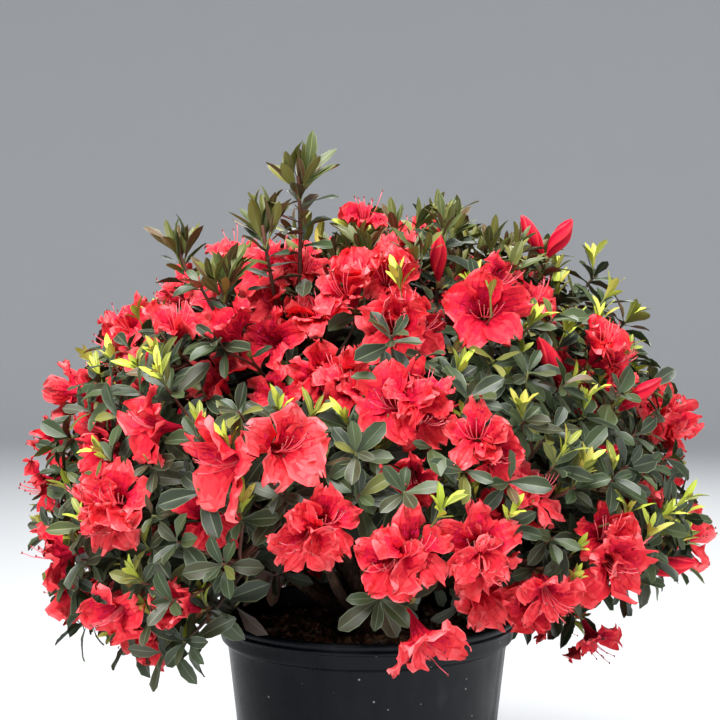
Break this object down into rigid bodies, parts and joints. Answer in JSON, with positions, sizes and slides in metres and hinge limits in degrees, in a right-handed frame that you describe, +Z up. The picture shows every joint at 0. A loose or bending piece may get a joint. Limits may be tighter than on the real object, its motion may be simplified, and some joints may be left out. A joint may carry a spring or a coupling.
{
  "type": "potted azalea shrub",
  "caption": "Low, wide-domed evergreen azalea in full red flower, many-stemmed from a short stump, growing in a round tapered black nursery pot.",
  "frame": {"origin": "middle of the pot's flat underside, on the ground", "axes": "+Z up; -Y towards the side the shrub is seen from; +X to the right from there"},
  "size_m": [0.6634, 0.6648, 0.6838],
  "materials": {
    "pot_plastic": "black, satin, dusty",
    "potting_mix": "coarse composted bark",
    "bark": "thin grey-brown bark",
    "foliage": "leaves and petals"
  },
  "bodies": {
    "root": {"pot": "pot_plastic", "potting_mix": "potting_mix", "stump": "bark", "bough_skirt_1": "bark", "bough_skirt_2": "bark", "bough_skirt_3": "bark", "bough_skirt_4": "bark", "bough_skirt_5": "bark", "bough_skirt_6": "bark", "bough_skirt_7": "bark", "bough_skirt_8": "bark", "bough_shoulder_1": "bark", "bough_shoulder_2": "bark", "bough_shoulder_3": "bark", "bough_shoulder_4": "bark", "bough_shoulder_5": "bark", "bough_top": "bark", "foliage_skirt_1": "foliage", "foliage_skirt_2": "foliage", "foliage_skirt_3": "foliage", "foliage_skirt_4": "foliage", "foliage_skirt_5": "foliage", "foliage_skirt_6": "foliage", "foliage_skirt_7": "foliage", "foliage_skirt_8": "foliage", "foliage_shoulder_1": "foliage", "foliage_shoulder_2": "foliage", "foliage_shoulder_3": "foliage", "foliage_shoulder_4": "foliage", "foliage_shoulder_5": "foliage", "foliage_top": "foliage"}
  },
  "joints": []
}
